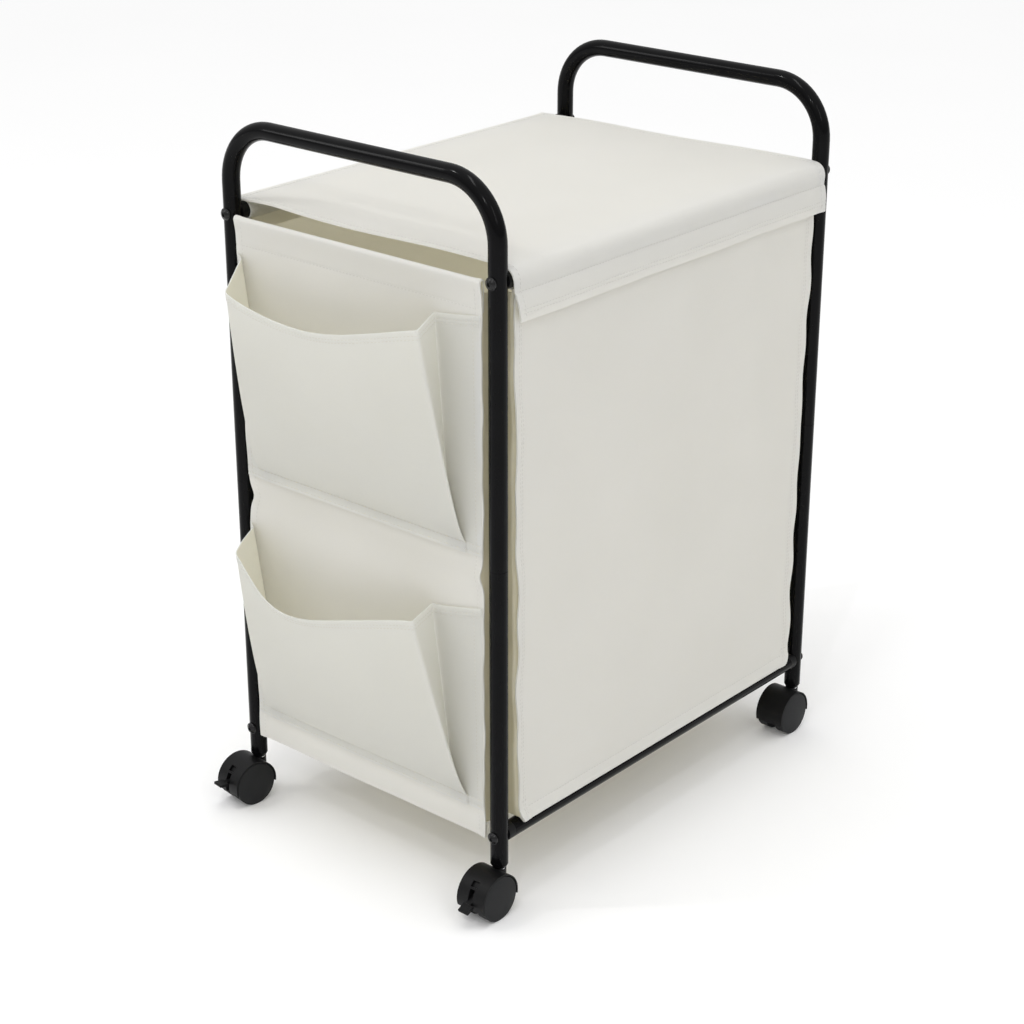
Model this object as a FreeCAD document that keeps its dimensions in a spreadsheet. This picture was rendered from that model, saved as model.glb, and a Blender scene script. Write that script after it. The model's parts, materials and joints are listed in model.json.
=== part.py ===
import FreeCAD, Part
import math
import os
import Sketcher

V = FreeCAD.Vector

# A laundry sorter on wheels: two steel hoops on four legs, joined by two pairs of rails. A fabric bag
# hangs between the top rails, with a board on its floor, two pockets on its front end and a fabric lid
# that is sewn along the left rail. Each leg stands on a twin-wheel swivel caster.
# +X is the right side, +Y the rear, +Z up. The origin is on the floor, under the middle of the
# bounding box. The frame's own middle is offset from it, because the pockets and casters stick out.

doc = FreeCAD.newDocument("laundry_sorter")
sheet = doc.addObject("Spreadsheet::Sheet", "dims")

DIMENSIONS = [
    # alias, millimetres or degrees, meaning
    ("frame_mid_x", 2.07, "middle of the frame from the origin, to the right"),
    ("frame_mid_y", 23.55, "middle of the frame from the origin, to the rear"),
    ("post_x", 182, "frame middle to post axis, across"),
    ("post_y", 269, "frame middle to post axis, lengthways"),
    ("tube_r", 9.5, "outer radius of every steel tube"),
    ("tube_wall", 1.2, "wall of every steel tube"),
    ("leg_end_z", 54, "lower end of the leg tubes"),
    ("joint_z", 390, "where a hoop sits on its legs"),
    ("hoop_top_z", 781, "middle of the hoop's top bar"),
    ("hoop_bend_r", 60, "bend radius of the hoop's middle line"),
    ("top_rail_z", 687, "middle of the top rails"),
    ("low_rail_z", 87, "middle of the bottom rails"),
    ("joint_chamfer", 0.5, "chamfer on the leg's shoulder, seen as a line round the post"),
    ("spigot_gap", 0.1, "play between the leg's spigot and the hoop"),
    ("spigot_len", 45, "length of the leg's spigot"),
    ("spigot_wall", 1.2, "wall of the spigot"),
    ("screw_r", 3.0, "radius of the frame screws"),
    ("screw_hole_r", 3.2, "radius of the screw holes in the posts"),
    ("screw_len", 42, "length of the screws under their heads"),
    ("head_r", 5.9, "radius of the button heads"),
    ("head_len", 3.3, "height of the button heads"),
    ("hex_r", 2.3, "radius across the corners of the hexagon recess"),
    ("hex_depth", 1.8, "depth of the hexagon recess"),
    ("washer_r", 6.6, "outer radius of the washers"),
    ("washer_len", 1.0, "thickness of the washers"),
    ("rail_gap", 7.0, "rail end to the face of its post"),
    ("plug_len", 24, "length of a plug inside its rail"),
    ("plug_wrap", 3.0, "how far a plug reaches round its post"),
    ("part_gap", 0.1, "play between parts that are pushed together"),
    ("overlap", 0.5, "how far joined shapes and cutting shapes reach past a face"),
    ("socket_len", 24, "length of a caster socket inside its leg"),
    ("socket_nose", 4.0, "height of the socket's tapered nose"),
    ("neck_r", 7.4, "radius of the caster's neck and the socket's nose"),
    ("stem_r", 4.0, "radius of the caster's steel stem"),
    ("stem_top_z", 75, "upper end of the stem"),
    ("stem_low_z", 32, "lower end of the stem"),
    ("collar_r", 6.8, "radius of the stem's collar"),
    ("collar_low_z", 48.5, "underside of the collar"),
    ("collar_len", 1.2, "thickness of the collar"),
    ("neck_top_z", 48.3, "top of the caster's neck"),
    ("neck_room", 0.3, "room round the collar above the neck"),
    ("trail", 19, "wheel axis behind the stem axis"),
    ("wheel_r", 25, "radius of a wheel"),
    ("wheel_in_x", 6, "inner face of a wheel from the caster's middle"),
    ("wheel_out_x", 18, "edge of a wheel's outer face from the caster's middle"),
    ("wheel_dome", 1.8, "how far the outer face bulges"),
    ("wheel_hub_r", 8, "radius of the wheel's hub"),
    ("wheel_rim", 4, "thickness of the wheel's tread ring"),
    ("wheel_web", 4, "thickness of the wheel's outer face"),
    ("axle_r", 3.0, "radius of the axle"),
    ("axle_half", 14, "half the length of the axle"),
    ("axle_gap", 0.06, "running play of a wheel on its axle"),
    ("hood_r", 27.5, "outer radius of the hood"),
    ("hood_wall", 1.4, "wall of the hood"),
    ("hood_half", 18.4, "half the width of the hood"),
    ("hood_from", -9, "angle where the hood starts, in front of the axle"),
    ("hood_sweep", 206, "angle that the hood covers"),
    ("web_half", 5.5, "half the thickness of the web between the wheels"),
    ("boss_r", 7, "radius of the web's boss round the axle"),
    ("window_half", 4.2, "half the width of the window over the brake"),
    ("window_from", 126, "angle where the window starts"),
    ("window_sweep", 15, "angle that the window covers"),
    ("slot_half", 3.1, "half the width of the brake lever's slot"),
    ("slot_from", 146, "angle where the slot starts"),
    ("slot_sweep", 52, "angle that the slot covers"),
    ("slot_in_r", 13, "radius at the bottom of the slot"),
    ("pivot_r", 19, "brake pivot from the wheel axis"),
    ("pivot_angle", 165, "angle of the brake pivot about the wheel axis"),
    ("trunnion_r", 1.75, "radius of the lever's trunnions"),
    ("trunnion_half", 5.2, "half the length over the trunnions"),
    ("trunnion_gap", 0.08, "running play of the trunnions"),
    ("arm_half", 2.8, "half the width of the lever's arm"),
    ("arm_back", 3.0, "arm behind the pivot"),
    ("arm_thick", 4.0, "thickness of the lever's arm"),
    ("tab_from", 12, "start of the foot tab from the pivot"),
    ("tab_to", 23, "end of the foot tab from the pivot"),
    ("tab_half", 6.5, "half the width of the foot tab"),
    ("tab_thick", 3.0, "thickness of the foot tab"),
    ("tab_round_r", 1.2, "rounding of the foot tab's tip"),
    ("lever_down", -26, "angle of the pressed lever from level"),
    ("lever_up", 6, "angle of the raised lever from level"),
    ("parked_turn", -7, "how far the front left caster is turned at rest"),
    ("cloth", 1.2, "thickness of the fabric"),
    ("cloth_gap", 0.3, "gap between fabric pieces"),
    ("sleeve_wall", 1.0, "thickness of the fabric sleeves on the top rails"),
    ("sleeve_gap", 0.2, "play between a sleeve and its rail"),
    ("sleeve_half", 250, "half the length of the sleeves"),
    ("side_out_x", 189, "outer face of a side wall from the frame middle"),
    ("side_half", 250, "half the length of a side wall"),
    ("side_low_z", 98.4, "lower edge of the side walls"),
    ("side_into_sleeve", 8, "top of the side walls below the rail's middle"),
    ("corner_in_x", 170.6, "corner strip from the frame middle"),
    ("corner_top_z", 674, "top of the corner strips"),
    ("end_out_y", 275, "outer face of an end wall from the frame middle"),
    ("end_half", 168.5, "half the width of an end wall"),
    ("end_low_z", 82, "lower edge of the end walls"),
    ("end_top_z", 688, "top edge of the end walls"),
    ("hem_r", 3.0, "outer radius of the hem round its rod"),
    ("rod_r", 1.8, "radius of the hem rods"),
    ("rod_half", 160, "half the length of the hem rods"),
    ("floor_low_z", 96.9, "underside of the bag's floor"),
    ("floor_half_x", 187.4, "half the width of the bag's floor"),
    ("board_half_x", 166, "half the width of the floor board"),
    ("board_half_y", 266, "half the length of the floor board"),
    ("board_thick", 3, "thickness of the floor board"),
    ("pocket_half", 166, "half the width of the pockets"),
    ("pocket_reach", 52, "how far a pocket stands out at its mouth"),
    ("pocket_tall", 240, "pocket's height at the panel"),
    ("pocket_dip", 36, "how far the middle of the mouth hangs below its ends"),
    ("pocket_seam", 6.0, "height of a pocket's sewn lower edge at the panel"),
    ("pocket_clear", 20, "how far the pocket's hollow is cut past its top"),
    ("cloth_slack", 0.05, "extra thickness that the leaning front loses at its mouth"),
    ("upper_pocket_z", 410, "bottom seam of the upper pocket"),
    ("lower_pocket_z", 124, "bottom seam of the lower pocket"),
    ("lower_pocket_tall", 222, "lower pocket's height at the panel"),
    ("lower_pocket_dip", 44, "lower pocket's dip of the mouth"),
    ("lid_low_z", 698, "underside of the lid"),
    ("lid_left_x", 193.2, "sewn edge of the lid from the frame middle"),
    ("lid_right_x", 194.2, "outer face of the lid's flap"),
    ("lid_half_y", 256, "half the length of the lid"),
    ("flap_low_z", 646, "lower edge of the lid's flap"),
    ("stiffener_half_x", 164, "half the width of the lid's stiffener"),
    ("stiffener_half_y", 246, "half the length of the lid's stiffener"),
    ("stiffener_thick", 2.5, "thickness of the lid's stiffener"),
]

for row, (alias, value, meaning) in enumerate(DIMENSIONS, start=1):
    sheet.set(f"A{row}", alias)
    sheet.set(f"B{row}", str(value))
    sheet.set(f"C{row}", meaning)
    sheet.setAlias(f"B{row}", alias)
doc.recompute()

ALIASES = sorted((alias for alias, _, _ in DIMENSIONS), key=len, reverse=True)
AXES = {"X": V(1, 0, 0), "Y": V(0, 1, 0), "Z": V(0, 0, 1)}
# Turns that lay a primitive's own axis, +Z, along a row axis.
ALONG = {
    "X": FreeCAD.Rotation(AXES["Y"], 90),
    "Y": FreeCAD.Rotation(AXES["X"], -90),
    "Z": FreeCAD.Rotation(),
}
SIDES = {"left": -1, "right": 1}
ENDS = {"front": -1, "rear": 1}
ROW_MIDDLE = ("frame_mid_x", "frame_mid_y", "0")
RAIL_HALF = "(post_y - tube_r - rail_gap)"
RAIL_HEIGHT = {"top": "top_rail_z", "bottom": "low_rail_z"}
# Edges whose middles are nearer than this, in millimetres, lie in the same plane.
SAME_PLACE = 0.01
finished = []


def bound(text):
    """The expression for a formula over the sheet's aliases."""
    out = ""
    word = ""
    for mark in text + " ":
        if mark.isalnum() or mark == "_":
            word += mark
            continue
        out += f"dims.{word}" if word in ALIASES else word
        out += mark
        word = ""
    return out.strip()


def bind(thing, **formulas):
    """Ties properties to formulas, with two underscores for each dot in a name."""
    for path, formula in formulas.items():
        thing.setExpression(path.replace("__", "."), bound(formula))


def place(thing, at, turn=None):
    """Puts a thing at three formulas, turned by a fixed rotation."""
    thing.Placement = FreeCAD.Placement(V(), turn or FreeCAD.Rotation())
    bind(thing, Placement__Base__x=at[0], Placement__Base__y=at[1], Placement__Base__z=at[2])


def box(name, low, high):
    """A box between two corners, each given as three formulas."""
    made = doc.addObject("Part::Box", name)
    place(made, low)
    length, width, height = (f"({far}) - ({near})" for near, far in zip(low, high))
    bind(made, Length=length, Width=width, Height=height)
    return made


def cylinder(name, axis, start, radius, length, sweep=None):
    """A cylinder from a start point along a row axis."""
    made = doc.addObject("Part::Cylinder", name)
    place(made, start, ALONG[axis])
    bind(made, Radius=radius, Height=length)
    if sweep:
        bind(made, Angle=sweep)
    return made


def cut(name, base, tool):
    made = doc.addObject("Part::Cut", name)
    made.Base = base
    made.Tool = tool
    return made


def fuse(name, shapes):
    made = doc.addObject("Part::MultiFuse", name)
    made.Shapes = shapes
    made.Refine = True
    return made


def span(sign, near, far):
    """Two formulas in rising order, mirrored when sign is negative."""
    return (near, far) if sign > 0 else (f"-({far})", f"-({near})")


def group(name, shapes):
    """Several separate solids under one name."""
    made = doc.addObject("Part::Compound", name)
    made.Links = shapes
    return made


def finish(thing, label, at=ROW_MIDDLE, turn=None):
    """Names a sub-part, places it in the row frame and lists it for export."""
    place(thing, at, turn)
    thing.Label = label
    finished.append(thing)


def plane_of(body, role):
    return next(item for item in body.Origin.OriginFeatures if item.Role == role)


def sketch_on(body, role, name):
    made = body.newObject("Sketcher::SketchObject", name)
    made.AttachmentSupport = (plane_of(body, role), [""])
    made.MapMode = "FlatFace"
    return made


def value_of(formula):
    """The number that a formula stands for."""
    scratch = doc.addObject("Part::Box", "scratch")
    bind(scratch, Placement__Base__x=formula)
    doc.recompute([scratch])
    number = scratch.Placement.Base.x
    doc.removeObject(scratch.Name)
    return number


def draw_outline(sketch, corners):
    """A closed outline through corners, each tied to two formulas from the sketch's origin."""
    points = [V(value_of(across), value_of(up), 0) for across, up in corners]
    count = len(points)
    for index, point in enumerate(points):
        sketch.addGeometry(Part.LineSegment(point, points[(index + 1) % count]))
    for index in range(count):
        sketch.addConstraint(Sketcher.Constraint("Coincident", index, 2, (index + 1) % count, 1))
    for index, (across, up) in enumerate(corners):
        point = points[index]
        for kind, formula, number in (("DistanceX", across, point.x), ("DistanceY", up, point.y)):
            made = sketch.addConstraint(Sketcher.Constraint(kind, -1, 1, index, 1, number))
            sketch.setExpression(f"Constraints[{made}]", bound(formula))


def turned(name, corners):
    """A body turned about its own Z axis from an outline of radius and height."""
    body = doc.addObject("PartDesign::Body", name)
    outline = sketch_on(body, "XZ_Plane", f"{name}_outline")
    draw_outline(outline, corners)
    turning = body.newObject("PartDesign::Revolution", f"{name}_turning")
    turning.Profile = outline
    turning.ReferenceAxis = (outline, ["V_Axis"])
    turning.Angle = 360
    body.Tip = turning
    doc.recompute()
    return body


def drill_across(body, name, centres, radius):
    """Round holes right through a body along Y, at points given as formulas of x and z."""
    outline = sketch_on(body, "XZ_Plane", f"{name}_outline")
    for index, (across, up) in enumerate(centres):
        middle = V(value_of(across), value_of(up), 0)
        outline.addGeometry(Part.Circle(middle, AXES["Z"], value_of(radius)))
        made = outline.addConstraint(Sketcher.Constraint("Radius", index, value_of(radius)))
        outline.setExpression(f"Constraints[{made}]", bound(radius))
        for kind, formula, number in (("DistanceX", across, middle.x), ("DistanceY", up, middle.y)):
            made = outline.addConstraint(Sketcher.Constraint(kind, -1, 1, index, 3, number))
            outline.setExpression(f"Constraints[{made}]", bound(formula))
    hole = body.newObject("PartDesign::Pocket", name)
    hole.Profile = outline
    hole.Type = "ThroughAll"
    hole.Midplane = True
    body.Tip = hole
    doc.recompute()


# ---- frame tubes ----

def hoop(end):
    """An upside-down U of tube: two posts and the bar that serves as a handle."""
    name = f"hoop_{end}"
    body = doc.addObject("PartDesign::Body", name)
    path = sketch_on(body, "XZ_Plane", f"{name}_path")
    half, low, top = value_of("post_x"), value_of("joint_z"), value_of("hoop_top_z")
    bend = value_of("hoop_bend_r")
    spring = top - bend
    left_mid, right_mid = V(bend - half, spring, 0), V(half - bend, spring, 0)
    quarter = math.pi / 2
    path.addGeometry(Part.LineSegment(V(-half, low, 0), V(-half, spring, 0)))
    path.addGeometry(Part.ArcOfCircle(Part.Circle(left_mid, AXES["Z"], bend), quarter, 2 * quarter))
    path.addGeometry(Part.LineSegment(V(bend - half, top, 0), V(half - bend, top, 0)))
    path.addGeometry(Part.ArcOfCircle(Part.Circle(right_mid, AXES["Z"], bend), 0, quarter))
    path.addGeometry(Part.LineSegment(V(half, spring, 0), V(half, low, 0)))
    left_post, left_bend, bar, right_bend, right_post = range(5)
    start, end_point = 1, 2
    for one, one_end, other, other_end in (
        (left_post, end_point, left_bend, end_point),
        (left_bend, start, bar, start),
        (bar, end_point, right_bend, end_point),
        (right_bend, start, right_post, start),
    ):
        path.addConstraint(Sketcher.Constraint("Tangent", one, one_end, other, other_end))
    path.addConstraint(Sketcher.Constraint("Vertical", left_post))
    path.addConstraint(Sketcher.Constraint("Vertical", right_post))
    for kind, item, point, formula, number in (
        ("DistanceX", left_post, start, "-post_x", -half),
        ("DistanceY", left_post, start, "joint_z", low),
        ("DistanceX", right_post, end_point, "post_x", half),
        ("DistanceY", right_post, end_point, "joint_z", low),
        ("DistanceY", bar, start, "hoop_top_z", top),
        ("DistanceX", left_bend, 3, "hoop_bend_r - post_x", bend - half),
        ("DistanceX", right_bend, 3, "post_x - hoop_bend_r", half - bend),
    ):
        made = path.addConstraint(Sketcher.Constraint(kind, -1, 1, item, point, number))
        path.setExpression(f"Constraints[{made}]", bound(formula))
    ring = sketch_on(body, "XY_Plane", f"{name}_ring")
    bind(ring, AttachmentOffset__Base__z="joint_z")
    for index, formula in enumerate(("tube_r", "tube_r - tube_wall")):
        ring.addGeometry(Part.Circle(V(-half, 0, 0), AXES["Z"], value_of(formula)))
        made = ring.addConstraint(Sketcher.Constraint("Radius", index, value_of(formula)))
        ring.setExpression(f"Constraints[{made}]", bound(formula))
        made = ring.addConstraint(Sketcher.Constraint("DistanceX", -1, 1, index, 3, -half))
        ring.setExpression(f"Constraints[{made}]", bound("-post_x"))
        ring.addConstraint(Sketcher.Constraint("PointOnObject", index, 3, -1))
    doc.recompute()
    pipe = body.newObject("PartDesign::AdditivePipe", f"{name}_tube")
    pipe.Profile = ring
    pipe.Spine = path
    body.Tip = pipe
    doc.recompute()
    drill_across(body, f"{name}_holes", [("-post_x", "top_rail_z"), ("post_x", "top_rail_z")], "screw_hole_r")
    finish(body, name, ("frame_mid_x", f"frame_mid_y + {ENDS[end]} * post_y", "0"))


def leg(side, end):
    """A straight tube whose narrowed upper end pushes into the hoop."""
    name = f"leg_{end}_{side}"
    spigot_r = "tube_r - tube_wall - spigot_gap"
    body = turned(name, [
        ("tube_r - tube_wall", "leg_end_z"),
        ("tube_r", "leg_end_z"),
        ("tube_r", "joint_z - joint_chamfer"),
        ("tube_r - joint_chamfer", "joint_z"),
        (spigot_r, "joint_z"),
        (spigot_r, "joint_z + spigot_len"),
        (f"{spigot_r} - spigot_wall", "joint_z + spigot_len"),
        (f"{spigot_r} - spigot_wall", "joint_z - spigot_wall"),
        ("tube_r - tube_wall", "joint_z - 2 * spigot_wall"),
    ])
    drill_across(body, f"{name}_hole", [("0", "low_rail_z")], "screw_hole_r")
    finish(body, name, post_at(side, end))


def post_at(side, end):
    return (f"frame_mid_x + {SIDES[side]} * post_x", f"frame_mid_y + {ENDS[end]} * post_y", "0")


def rail(side, level):
    """A tube lengthways between two posts."""
    name = f"{level}_rail_{side}"
    start = ("0", f"-{RAIL_HALF}", "0")
    outer = cylinder(f"{name}_outer", "Y", start, "tube_r", f"2 * {RAIL_HALF}")
    inner = cylinder(f"{name}_inner", "Y", start, "tube_r - tube_wall", f"2 * {RAIL_HALF}")
    at = (f"frame_mid_x + {SIDES[side]} * post_x", "frame_mid_y", RAIL_HEIGHT[level])
    finish(cut(name, outer, inner), name, at)


def rail_plug(name, end):
    """A moulded plug in a rail's end, hollowed to sit on the post, with the screw's bore."""
    sign = ENDS[end]
    inside = f"({RAIL_HALF} - plug_len)"
    flange_far = "(post_y - tube_r + plug_wrap)"
    shank_y = span(sign, inside, f"{RAIL_HALF} + overlap")[0]
    shank_r = "tube_r - tube_wall - part_gap"
    shank = cylinder(f"{name}_shank", "Y", ("0", shank_y, "0"), shank_r, "plug_len + overlap")
    flange_y = span(sign, f"{RAIL_HALF} + part_gap", flange_far)[0]
    flange_len = f"{flange_far} - {RAIL_HALF} - part_gap"
    flange = cylinder(f"{name}_flange", "Y", ("0", flange_y, "0"), "tube_r", flange_len)
    solid = fuse(f"{name}_solid", [shank, flange])
    post_start = ("0", f"{sign} * post_y", "-2 * tube_r")
    post = cylinder(f"{name}_post", "Z", post_start, "tube_r + part_gap", "4 * tube_r")
    bore_y = span(sign, inside, flange_far)[0]
    bore_len = f"{flange_far} - {inside}"
    bore = cylinder(f"{name}_bore", "Y", ("0", bore_y, "0"), "screw_r + part_gap", bore_len)
    return cut(f"{name}_saddled", cut(f"{name}_hollow", solid, post), bore)


def screw(name, end):
    """A button-head screw that points inwards through a post."""
    sign = ENDS[end]
    seat = "(post_y + tube_r + washer_len)"
    turn = ALONG["Y"] if sign > 0 else FreeCAD.Rotation(AXES["X"], 90)
    shank = cylinder(f"{name}_shank", "Z", ("0", "0", "-screw_len"), "screw_r", "screw_len + overlap")
    ball = doc.addObject("Part::Sphere", f"{name}_ball")
    dome_r = "((head_r * head_r + head_len * head_len) / (2 * head_len))"
    place(ball, ("0", "0", f"head_len - {dome_r}"))
    bind(ball, Radius=dome_r)
    blank = cylinder(f"{name}_blank", "Z", ("0", "0", "0"), "head_r", "head_len")
    head = doc.addObject("Part::Common", f"{name}_head")
    head.Base = blank
    head.Tool = ball
    recess = doc.addObject("Part::Prism", f"{name}_recess")
    recess.Polygon = 6
    place(recess, ("0", "0", "head_len - hex_depth"))
    bind(recess, Circumradius="hex_r", Height="hex_depth + overlap")
    made = cut(f"{name}_screw", fuse(f"{name}_solid", [shank, head]), recess)
    place(made, ("0", f"{sign} * {seat}", "0"), turn)
    return made


def washer(name, end):
    sign = ENDS[end]
    start = "post_y + tube_r" if sign > 0 else "-(post_y + tube_r + washer_len)"
    outer = cylinder(f"{name}_outer", "Y", ("0", start, "0"), "washer_r", "washer_len")
    inner = cylinder(f"{name}_inner", "Y", ("0", start, "0"), "screw_hole_r", "washer_len")
    return cut(f"{name}_washer", outer, inner)


def at_rail_ends(label, level, maker):
    """One group of four equal pieces, at both ends of the two rails of a level."""
    copies = []
    for side, across in SIDES.items():
        for end in ENDS:
            piece = maker(f"{label}_{end}_{side}", end)
            holder = group(f"{label}_{end}_{side}_at", [piece])
            place(holder, (f"{across} * post_x", "0", RAIL_HEIGHT[level]))
            copies.append(holder)
    finish(group(label, copies), label)


# ---- casters ----

def caster_socket(side, end):
    """A plastic sleeve in the leg's end that holds the caster's stem."""
    name = f"caster_socket_{end}_{side}"
    body = turned(name, [
        ("stem_r + axle_gap", "leg_end_z - socket_nose"),
        ("neck_r", "leg_end_z - socket_nose"),
        ("tube_r", "leg_end_z - part_gap"),
        ("tube_r - tube_wall - part_gap", "leg_end_z - part_gap"),
        ("tube_r - tube_wall - part_gap", "leg_end_z + socket_len"),
        ("stem_r + axle_gap", "leg_end_z + socket_len"),
    ])
    finish(body, name, post_at(side, end))


def caster_stem(side, end):
    """A steel pin with a collar, which stays in the socket while the hood turns round it."""
    name = f"caster_stem_{end}_{side}"
    pin = cylinder(f"{name}_pin", "Z", ("0", "0", "stem_low_z"), "stem_r", "stem_top_z - stem_low_z")
    collar = cylinder(f"{name}_collar", "Z", ("0", "0", "collar_low_z"), "collar_r", "collar_len")
    finish(fuse(name, [pin, collar]), name, post_at(side, end))


def sector(name, half, radius, start_angle, sweep):
    """A slice of a cylinder about the wheel axis, from straight ahead up and over to the rear."""
    made = doc.addObject("Part::Cylinder", name)
    # The primitive starts on its own X axis. This turn lays that axis forwards and its length across.
    base = FreeCAD.Rotation(V(0, 1, 0), V(0, 0, 1), V(1, 0, 0), "ZXY")
    start = value_of(start_angle)
    place(made, (f"-({half})", "-trail", "wheel_r"), FreeCAD.Rotation(AXES["X"], start) * base)
    bind(made, Radius=radius, Height=f"2 * ({half})", Angle=sweep)
    return made


def across_wheel(name, half, radius):
    """A cylinder along the wheel axis, equally long to both sides."""
    return cylinder(name, "X", (f"-{half}", "-trail", "wheel_r"), radius, f"2 * {half}")


def caster_turn(side, end):
    angle = value_of("parked_turn") if (side, end) == ("left", "front") else 0
    return FreeCAD.Rotation(AXES["Z"], angle)


def brake_openings(name):
    """The slot and bore for the lever, and the window above it."""
    pivot_start = ("-web_half", *pivot_point())
    return [
        cut(
            f"{name}_slot",
            sector(f"{name}_slot_outer", "slot_half", "hood_r + overlap", "slot_from", "slot_sweep"),
            across_wheel(f"{name}_slot_inner", "slot_half", "slot_in_r"),
        ),
        cut(
            f"{name}_window",
            sector(f"{name}_window_outer", "window_half", "hood_r + overlap", "window_from", "window_sweep"),
            across_wheel(f"{name}_window_inner", "window_half", "hood_r - 2 * hood_wall"),
        ),
        cylinder(f"{name}_pivot_bore", "X", pivot_start, "trunnion_r + trunnion_gap", "2 * web_half"),
    ]


def caster_hood(side, end):
    """The moulding over both wheels, with the neck that turns on the stem and the axle's web."""
    name = f"caster_hood_{end}_{side}"
    outside = sector(f"{name}_outside", "hood_half", "hood_r", "hood_from", "hood_sweep")
    neck_start = ("0", "0", "wheel_r")
    neck = cylinder(f"{name}_neck", "Z", neck_start, "neck_r", "neck_top_z - wheel_r")
    inside = across_wheel(f"{name}_inside", "(hood_half + overlap)", "hood_r - hood_wall")
    shell = cut(f"{name}_shell", fuse(f"{name}_blank", [outside, neck]), inside)
    web = sector(f"{name}_web", "web_half", "hood_r - hood_wall / 2", "hood_from", "hood_sweep")
    boss = across_wheel(f"{name}_boss", "web_half", "boss_r")
    body = fuse(f"{name}_body", [shell, web, boss])
    stem_start = ("0", "0", "stem_low_z - overlap")
    collar_start = ("0", "0", "neck_top_z")
    tools = [
        cylinder(f"{name}_stem_bore", "Z", stem_start, "stem_r + axle_gap", "stem_top_z - stem_low_z"),
        cylinder(f"{name}_collar_room", "Z", collar_start, "neck_r + neck_room", "hood_r"),
        across_wheel(f"{name}_axle_bore", "(hood_half + overlap)", "axle_r + axle_gap"),
    ]
    if end == "front":
        tools += brake_openings(name)
    made = cut(name, body, fuse(f"{name}_openings", tools))
    finish(made, name, post_at(side, end), caster_turn(side, end))


def pivot_point():
    """The brake pivot's place, rearwards and up, from the caster's stem axis on the floor."""
    return (
        "-trail + pivot_r * cos(pivot_angle * 1deg)",
        "wheel_r + pivot_r * sin(pivot_angle * 1deg)",
    )


def caster_axle(side, end):
    name = f"caster_axle_{end}_{side}"
    pin = across_wheel(f"{name}_pin", "axle_half", "axle_r")
    finish(group(name, [pin]), name, post_at(side, end), caster_turn(side, end))


def wheel(side, end, place_name, outwards):
    """A wheel with a domed outer face, a hollow back and a blind bore for the axle."""
    name = f"wheel_{end}_{side}_{place_name}"
    axis_at = ("0", "wheel_r")
    back_at = ("wheel_in_x", *axis_at)
    width = "(wheel_out_x - wheel_in_x)"
    dome_r = "((wheel_r * wheel_r + wheel_dome * wheel_dome) / (2 * wheel_dome))"
    blank = cylinder(f"{name}_blank", "X", back_at, "wheel_r", f"{width} + wheel_dome")
    ball = doc.addObject("Part::Sphere", f"{name}_ball")
    place(ball, (f"wheel_out_x + wheel_dome - {dome_r}", *axis_at))
    bind(ball, Radius=dome_r)
    domed = doc.addObject("Part::Common", f"{name}_domed")
    domed.Base = blank
    domed.Tool = ball
    depth = f"({width} - wheel_web)"
    ring = cut(
        f"{name}_back",
        cylinder(f"{name}_back_outer", "X", back_at, "wheel_r - wheel_rim", depth),
        cylinder(f"{name}_back_inner", "X", back_at, "wheel_hub_r", depth),
    )
    bore_len = "axle_half - wheel_in_x + overlap"
    bore = cylinder(f"{name}_bore", "X", back_at, "axle_r + axle_gap", bore_len)
    solid = cut(f"{name}_solid", domed, fuse(f"{name}_hollows", [ring, bore]))
    if outwards < 0:
        mirrored = doc.addObject("Part::Mirroring", f"{name}_mirrored")
        mirrored.Source = solid
        mirrored.Normal = AXES["X"]
        solid = mirrored
    shifted = group(f"{name}_at_axle", [solid])
    place(shifted, ("0", "-trail", "0"))
    finish(group(name, [shifted]), name, post_at(side, end), caster_turn(side, end))


def brake_lever(side, angle):
    """A foot lever on two trunnions in the web, with a wide tab outside the hood."""
    name = f"brake_lever_front_{side}"
    arm = box(
        f"{name}_arm",
        ("-arm_half", "-tab_from - overlap", "-arm_thick / 2"),
        ("arm_half", "0", "arm_thick / 2"),
    )
    eye = cylinder(f"{name}_eye", "X", ("-arm_half", "0", "0"), "arm_back", "2 * arm_half")
    pins_start = ("-trunnion_half", "0", "0")
    pins = cylinder(f"{name}_pins", "X", pins_start, "trunnion_r", "2 * trunnion_half")
    tab = box(
        f"{name}_tab",
        ("-tab_half", "-tab_to", "-tab_thick / 2"),
        ("tab_half", "-tab_from", "tab_thick / 2"),
    )
    rounded = doc.addObject("Part::Fillet", f"{name}_rounded")
    rounded.Base = tab
    doc.recompute()
    round_r = value_of("tab_round_r")
    tip_y = -value_of("tab_to")
    rounded.Edges = [
        (number, round_r, round_r)
        for number, edge in enumerate(tab.Shape.Edges, start=1)
        if abs(edge.CenterOfMass.y - tip_y) < SAME_PLACE
    ]
    lever = fuse(f"{name}_solid", [arm, eye, pins, rounded])
    tilted = group(f"{name}_tilted", [lever])
    place(tilted, ("0", *pivot_point()), FreeCAD.Rotation(AXES["X"], -value_of(angle)))
    finish(group(name, [tilted]), name, post_at(side, "front"), caster_turn(side, "front"))


# ---- fabric ----

def sleeve(name, side):
    """A closed loop of fabric round a top rail."""
    start = (f"{SIDES[side]} * post_x", "-sleeve_half", "top_rail_z")
    inner_r = "tube_r + sleeve_gap"
    outer = cylinder(f"{name}_outer", "Y", start, f"{inner_r} + sleeve_wall", "2 * sleeve_half")
    inner = cylinder(f"{name}_inner", "Y", start, inner_r, "2 * sleeve_half")
    return cut(name, outer, inner)


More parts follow.
